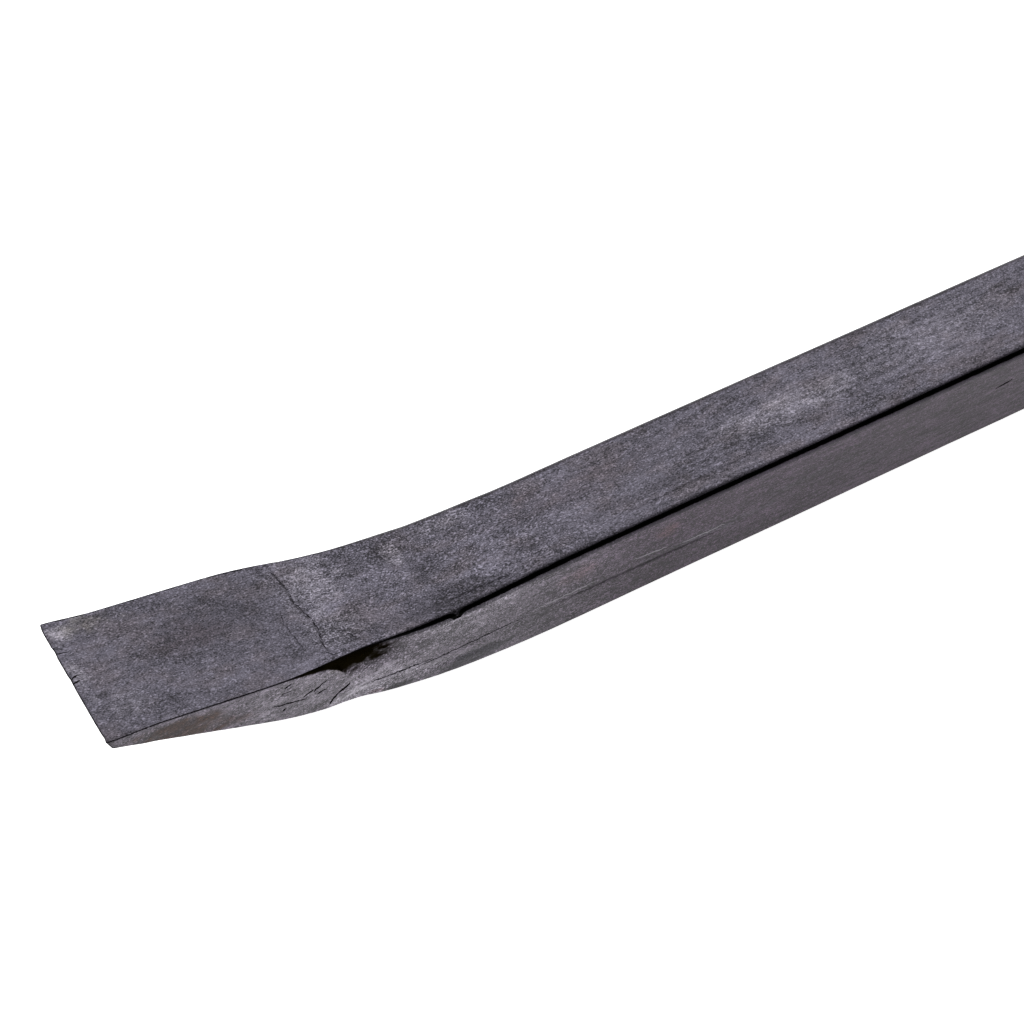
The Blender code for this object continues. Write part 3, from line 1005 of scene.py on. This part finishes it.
@dataclass(frozen=True)
class ForgeScale:
    """Dark blue-grey scale on forged steel, browner on its sides, with painted dark reflections along its
    upper corners and painted shade in the hollow above the trimmed facet.
    """

    scale: Colour = (0.051, 0.0475, 0.0605)
    warm_scale: Colour = (0.051, 0.0452, 0.0545)
    clean_side: Colour = (0.074, 0.064, 0.080)
    brown_side: Colour = (0.0312, 0.0212, 0.0330)
    metallic: float = 0.85
    roughness: float = 0.40
    grain_contrast: float = 3.7
    relief: float = 0.05 * MM

    def tint(self, tint: Tint) -> Colour:
        """Colour of a kind of mark."""
        colours = {
            Tint.BRIGHT: (0.172, 0.160, 0.184),
            Tint.DARK: (0.024, 0.022, 0.028),
            Tint.BROWN: (0.024, 0.0135, 0.012),
            Tint.OLIVE: (0.070, 0.064, 0.048),
            Tint.RUST: (0.052, 0.028, 0.030),
            Tint.NEAR_BLACK: (0.003, 0.003, 0.003),
        }
        return colours[tint]

    def material(self, bar: ForgedBar) -> bpy.types.Material:
        """Build the material from its layers.

        Args:
            bar: the forging, which says where a mark on one of its faces is.

        Returns:
            The finished material.
        """
        material = bpy.data.materials.new("forge_scale")
        material.use_nodes = True
        sheet = NodeSheet(material.node_tree)
        shader = material.node_tree.nodes["Principled BSDF"]
        place = sheet.add("ShaderNodeTexCoord").outputs["Object"]
        side = self.read("side", sheet)
        corner = self.read("corner", sheet)
        pattern = sheet.group(scale_grain_group(), place=place).outputs

        warmth = sheet.noise(sheet.stretched(place, 1.8), 6.0 * MM, 3.0, 0.6)
        colour = sheet.mix(sheet.remap(warmth, 0.45, 0.68), self.scale, self.warm_scale)
        along = self.distance_along(sheet, place)
        side_colour = sheet.mix(sheet.remap(along, 90.0 * MM, 138.0 * MM), self.clean_side, self.brown_side)
        colour = sheet.mix(sheet.math("MULTIPLY", side, 0.94), colour, side_colour)
        grit = sheet.remap(pattern["Mottle"], 0.25, 0.75, 0.60, 1.35)
        # tone patches from the mesh, painted highlights and painted shade along the near upper corner among
        # them
        for tint in Tint:
            tone_patch = sheet.math("MULTIPLY", self.read(tint.value, sheet), grit, clamp=True)
            colour = sheet.mix(tone_patch, colour, self.tint(tint))
        colour = sheet.vector("SCALE", colour, self.unevenness(sheet, pattern, side, along))
        dark_lines, bright_lines = self.line_masks(sheet, bar, place)
        colour = sheet.mix(bright_lines, colour, self.tint(Tint.BRIGHT))
        colour = sheet.mix(dark_lines, colour, self.tint(Tint.NEAR_BLACK))
        # painted shade: dark brown in the hollow above the trimmed facet, under the overhanging top edge
        hollow = self.hollow(sheet, pattern)
        colour = sheet.mix(hollow, colour, (0.0042, 0.0034, 0.0014))

        # painted dark reflection along the upper corners: the top darkens where it rounds over, then a
        # near-black band with a crisp lower edge; the blade's edge gets a near-black rim too
        frayed = sheet.math("MULTIPLY", sheet.math("SUBTRACT", pattern["Mottle"], 0.5), 0.16)
        corner = sheet.math("ADD", corner, sheet.math("MULTIPLY", frayed, sheet.remap(corner, 0.0, 0.2)))
        colour = sheet.mix(sheet.remap(corner, 0.0, 0.34, 0.0, 0.6), colour, self.tint(Tint.DARK))
        below = sheet.remap(corner, 0.66, 0.70, 1.0, 0.0)
        near_black = sheet.math("MULTIPLY", sheet.remap(corner, 0.26, 0.38), below)
        broken = sheet.remap(pattern["Mottle"], 0.30, 0.62, 0.3, 0.9)
        edge = sheet.math("MULTIPLY", self.read("edge", sheet), broken)
        near_black = sheet.math("MAXIMUM", near_black, edge)
        colour = sheet.mix(near_black, colour, self.tint(Tint.NEAR_BLACK))

        rough = sheet.math("ADD", self.roughness - 0.08, sheet.math("MULTIPLY", pattern["Grain"], 0.16))
        rough = sheet.math("SUBTRACT", rough, sheet.math("MULTIPLY", near_black, 0.18))
        # near-black lines, the painted dark corner reflection and the painted hollow shade lose their
        # metal's sheen, so they stay dark
        dead = sheet.math("MAXIMUM", sheet.math("MAXIMUM", near_black, hollow), dark_lines)
        metal = sheet.remap(dead, 0.0, 1.0, self.metallic, 1.0)
        deep = sheet.math("MULTIPLY", hollow, HOLLOW_MATTNESS)
        matt = sheet.math("MAXIMUM", sheet.math("MAXIMUM", near_black, deep), dark_lines)
        sheen = sheet.remap(matt, 0.0, 1.0, 1.0, NEAR_BLACK_SHEEN)
        height = sheet.math("ADD", pattern["Grain"], sheet.math("MULTIPLY", pattern["Mottle"], 1.2))
        height = sheet.math("ADD", height, sheet.math("MULTIPLY", pattern["Streaks"], 0.8))
        bump = sheet.add("ShaderNodeBump")
        bump.inputs["Strength"].default_value = 0.8
        bump.inputs["Distance"].default_value = self.relief
        sheet.feed(bump.inputs["Height"], height)

        sheet.feed(shader.inputs["Base Color"], colour)
        sheet.feed(shader.inputs["Roughness"], rough)
        sheet.feed(shader.inputs["Normal"], bump.outputs["Normal"])
        sheet.feed(shader.inputs["Metallic"], metal)
        sheet.feed(shader.inputs["Specular Tint"], sheen)
        return material

    @staticmethod
    def distance_along(sheet: NodeSheet, place: object) -> bpy.types.NodeSocket:
        """Distance from the blade's edge at each place on the skin."""
        split = sheet.add("ShaderNodeSeparateXYZ")
        sheet.feed(split.inputs[0], place)
        return sheet.math("SUBTRACT", split.outputs["X"], CAD_BOX[0][0])

    @staticmethod
    def read(name: str, sheet: NodeSheet) -> bpy.types.NodeSocket:
        """Value of one of the mesh's attributes."""
        return sheet.add("ShaderNodeAttribute", attribute_name=name).outputs["Fac"]

    def hollow(self, sheet: NodeSheet, pattern: object) -> bpy.types.NodeSocket:
        """How much painted shade darkens the hollow above the trimmed facet, under the overhanging top edge,
        with a crisp lower edge.
        """
        gap = sheet.remap(self.read("facet_gap", sheet), 0.0, 0.3)
        fade = sheet.remap(sheet.math("ADD", self.read("hollow", sheet), pattern["Mottle"]), 0.62, 1.10)
        return sheet.math("MULTIPLY", gap, fade)

    def unevenness(self, sheet: NodeSheet, pattern: object, side: object, along: object) -> object:
        """Factor round 1 that the colour is multiplied by, busiest round the bend and on the near side.

        Args:
            sheet: the material's sheet.
            pattern: outputs of the grain group.
            side: how much the skin faces sideways.
            along: distance from the blade's edge.

        Returns:
            The factor's socket.
        """
        rising = sheet.remap(along, 44.0 * MM, 56.0 * MM, 0.0, 0.40)
        falling = sheet.remap(along, 72.0 * MM, 150.0 * MM, 0.0, 0.46)
        busy = sheet.math("ADD", 1.0, sheet.math("SUBTRACT", rising, falling))
        rough_middle = sheet.remap(along, 106.0 * MM, 122.0 * MM, 0.16, 0.75)
        calm = sheet.math("ADD", rough_middle, sheet.remap(along, 140.0 * MM, 200.0 * MM, 0.0, -0.60))
        busy = sheet.math("ADD", busy, sheet.math("MULTIPLY", side, calm))
        total = sheet.math("MULTIPLY", pattern["Flecks"], 1.3)
        shares = {"Grain": self.grain_contrast, "Mottle": 1.4, "Clouds": 1.5}
        for name, share in shares.items():
            swing = sheet.math("MULTIPLY", sheet.math("SUBTRACT", pattern[name], 0.5), share)
            total = sheet.math("ADD", total, swing)
        total = sheet.math("MULTIPLY", total, busy)
        drawn = sheet.math("ADD", sheet.remap(along, 120.0 * MM, 190.0 * MM, 1.0, 1.8), side)
        streaks = sheet.math("MULTIPLY", sheet.math("SUBTRACT", pattern["Streaks"], 0.5), drawn)
        total = sheet.math("ADD", total, streaks)
        return sheet.math("MAXIMUM", sheet.math("ADD", total, 0.92), 0.22)

    def line_masks(self, sheet: NodeSheet, bar: ForgedBar, place: object) -> tuple[object, object]:
        """Masks of all the dark lines and of all the bright ones.

        Args:
            sheet: the material's sheet.
            bar: the forging.
            place: places on the skin.

        Returns:
            Two sockets.
        """
        hairline = hairline_group()
        wander = sheet.add("ShaderNodeTexNoise")
        sheet.feed(wander.inputs["Vector"], place)
        wander.inputs["Scale"].default_value = 1.0 / (1.6 * MM)
        wander.inputs["Detail"].default_value = 2.0
        shift = sheet.vector("SUBTRACT", wander.outputs["Color"], (0.5, 0.5, 0.5))
        shift = sheet.vector("SCALE", shift, 1.1 * MM)
        bent = sheet.vector("ADD", place, shift)
        pressed = {
            BarFace.TOP: Vector((1.0, 1.0, 0.12)),
            BarFace.NEAR: Vector((1.0, 0.12, 1.0)),
            BarFace.FAR: Vector((1.0, 0.12, 1.0)),
        }
        places = {face: sheet.vector("MULTIPLY", bent, tuple(press)) for face, press in pressed.items()}
        masks = {Tint.NEAR_BLACK: 0.0, Tint.BRIGHT: 0.0}
        for mark in LINES + CRACK_LINES:
            press = pressed[mark.face]
            ends = [Vector(bar.place_on(mark.face, *end)) * press for end in (mark.start, mark.end)]
            masked = sheet.group(
                hairline,
                place=places[mark.face],
                start=tuple(ends[0]),
                end=tuple(ends[1]),
                width=mark.width,
            )
            strength = sheet.math("MULTIPLY", masked.outputs["Mask"], mark.strength)
            masks[mark.tint] = sheet.math("MAXIMUM", masks[mark.tint], strength)
        return masks[Tint.NEAR_BLACK], masks[Tint.BRIGHT]


@dataclass
class Studio:
    """Pale floor, soft lights and a dark panel that the bar's corners mirror."""

    floor_size: float = 60.0
    floor_colour: Colour = (0.9, 0.9, 0.9)
    floor_glow: float = 1.0
    world_strength: float = 0.5

    def build(self) -> None:
        """Make the floor, the sky, the lights and the panel."""
        self.floor()
        self.sky()
        self.softbox("overhead_softbox", Vector((0.35, 0.85, 1.5)), 1.5, 20.0)
        self.softbox("left_softbox", Vector((-1.5, 0.3, 1.2)), 0.8, 5.0)
        self.dark_panel()

    def floor(self) -> None:
        """Make the plain pale floor that the bar lies on."""
        bpy.ops.mesh.primitive_plane_add(size=self.floor_size, location=(0.0, 0.0, -0.0002))
        floor = bpy.context.active_object
        floor.name = "studio_floor"
        material = bpy.data.materials.new("pale_floor")
        material.use_nodes = True
        shader = material.node_tree.nodes["Principled BSDF"]
        shader.inputs["Base Color"].default_value = opaque(self.floor_colour)
        shader.inputs["Roughness"].default_value = 0.9
        shader.inputs["Emission Color"].default_value = (1.0, 1.0, 1.0, 1.0)
        shader.inputs["Emission Strength"].default_value = self.floor_glow
        floor.data.materials.append(material)

    def sky(self) -> None:
        """Make an even pale surround."""
        world = bpy.data.worlds.new("studio_surround")
        bpy.context.scene.world = world
        world.use_nodes = True
        surround = world.node_tree.nodes["Background"]
        surround.inputs["Color"].default_value = (1.0, 1.0, 1.0, 1.0)
        surround.inputs["Strength"].default_value = self.world_strength

    def softbox(self, name: str, place: Vector, size: float, power: float) -> None:
        """Hang a square area light that faces the blade.

        Args:
            name: the light's name.
            place: its centre.
            size: its side.
            power: watts.
        """
        light = bpy.data.lights.new(name, "AREA")
        light.size = size
        light.energy = power
        lamp = bpy.data.objects.new(name, light)
        lamp.location = place
        target = Vector((CAD_BOX[0][0] + 110.0 * MM, 0.0, 0.0))
        lamp.rotation_euler = (target - place).to_track_quat("-Z", "Y").to_euler()
        bpy.context.scene.collection.objects.link(lamp)

    def dark_panel(self) -> None:
        """Stand a black panel in front of the bar, which only its reflections show."""
        bpy.ops.mesh.primitive_plane_add(size=1.0, location=(0.0, -1.3, 1.15))
        panel = bpy.context.active_object
        panel.name = "dark_panel"
        panel.scale = (8.0, 2.5, 1.0)
        panel.rotation_euler = (math.radians(66.0), 0.0, 0.0)
        material = bpy.data.materials.new("dark_card")
        material.use_nodes = True
        material.node_tree.nodes["Principled BSDF"].inputs["Base Color"].default_value = (0.0, 0.0, 0.0, 1.0)
        panel.data.materials.append(material)
        panel.visible_camera = False
        panel.visible_shadow = False


@dataclass(frozen=True)
class BladeCamera:
    """Camera above and in front of the blade, aimed a short way behind its edge."""

    aim_distance: float = 106.1 * MM
    aim_across: float = 4.4 * MM
    azimuth: float = math.radians(33.31)
    elevation: float = math.radians(53.15)
    roll: float = math.radians(3.64)
    distance: float = 0.5933
    lens: float = 94.92

    def build(self, floor_to_top: float) -> bpy.types.Object:
        """Place the camera and make it the scene's.

        Args:
            floor_to_top: height of the shank's top face.

        Returns:
            The camera.
        """
        camera = bpy.data.objects.new("blade_camera", bpy.data.cameras.new("blade_camera"))
        camera.data.lens = self.lens
        camera.data.sensor_width = 36.0
        camera.data.clip_start = 0.01
        level = math.cos(self.elevation)
        forward = Vector((math.sin(self.azimuth) * level, math.cos(self.azimuth) * level,
                          -math.sin(self.elevation)))
        aim = Vector((CAD_BOX[0][0] + self.aim_distance, self.aim_across, floor_to_top))
        turn = forward.to_track_quat("-Z", "Y").to_matrix().to_4x4() @ Matrix.Rotation(self.roll, 4, "Z")
        camera.matrix_world = Matrix.Translation(aim - forward * self.distance) @ turn
        bpy.context.scene.collection.objects.link(camera)
        bpy.context.scene.camera = camera
        return camera


def main() -> None:
    """Build the bar, the studio and the camera in order."""
    logging.basicConfig(level=logging.INFO, format="%(name)s: %(message)s")
    bpy.context.scene.view_settings.view_transform = "Standard"
    low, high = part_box(BAR_NODE)
    stock = 25.4 * MM
    bar_maker = ForgedBar(length=high.x - low.x, stock=stock)
    bar = bar_maker.build()
    bar.data.materials.append(ForgeScale().material(bar_maker))
    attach(bar, BODY)
    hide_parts(BAR_NODE)
    LOG.info("forged bar: %d vertices", len(bar.data.vertices))

    Studio().build()
    LOG.info("studio ready")
    BladeCamera().build(stock)
    LOG.info("camera ready")


if __name__ == "__main__":
    main()
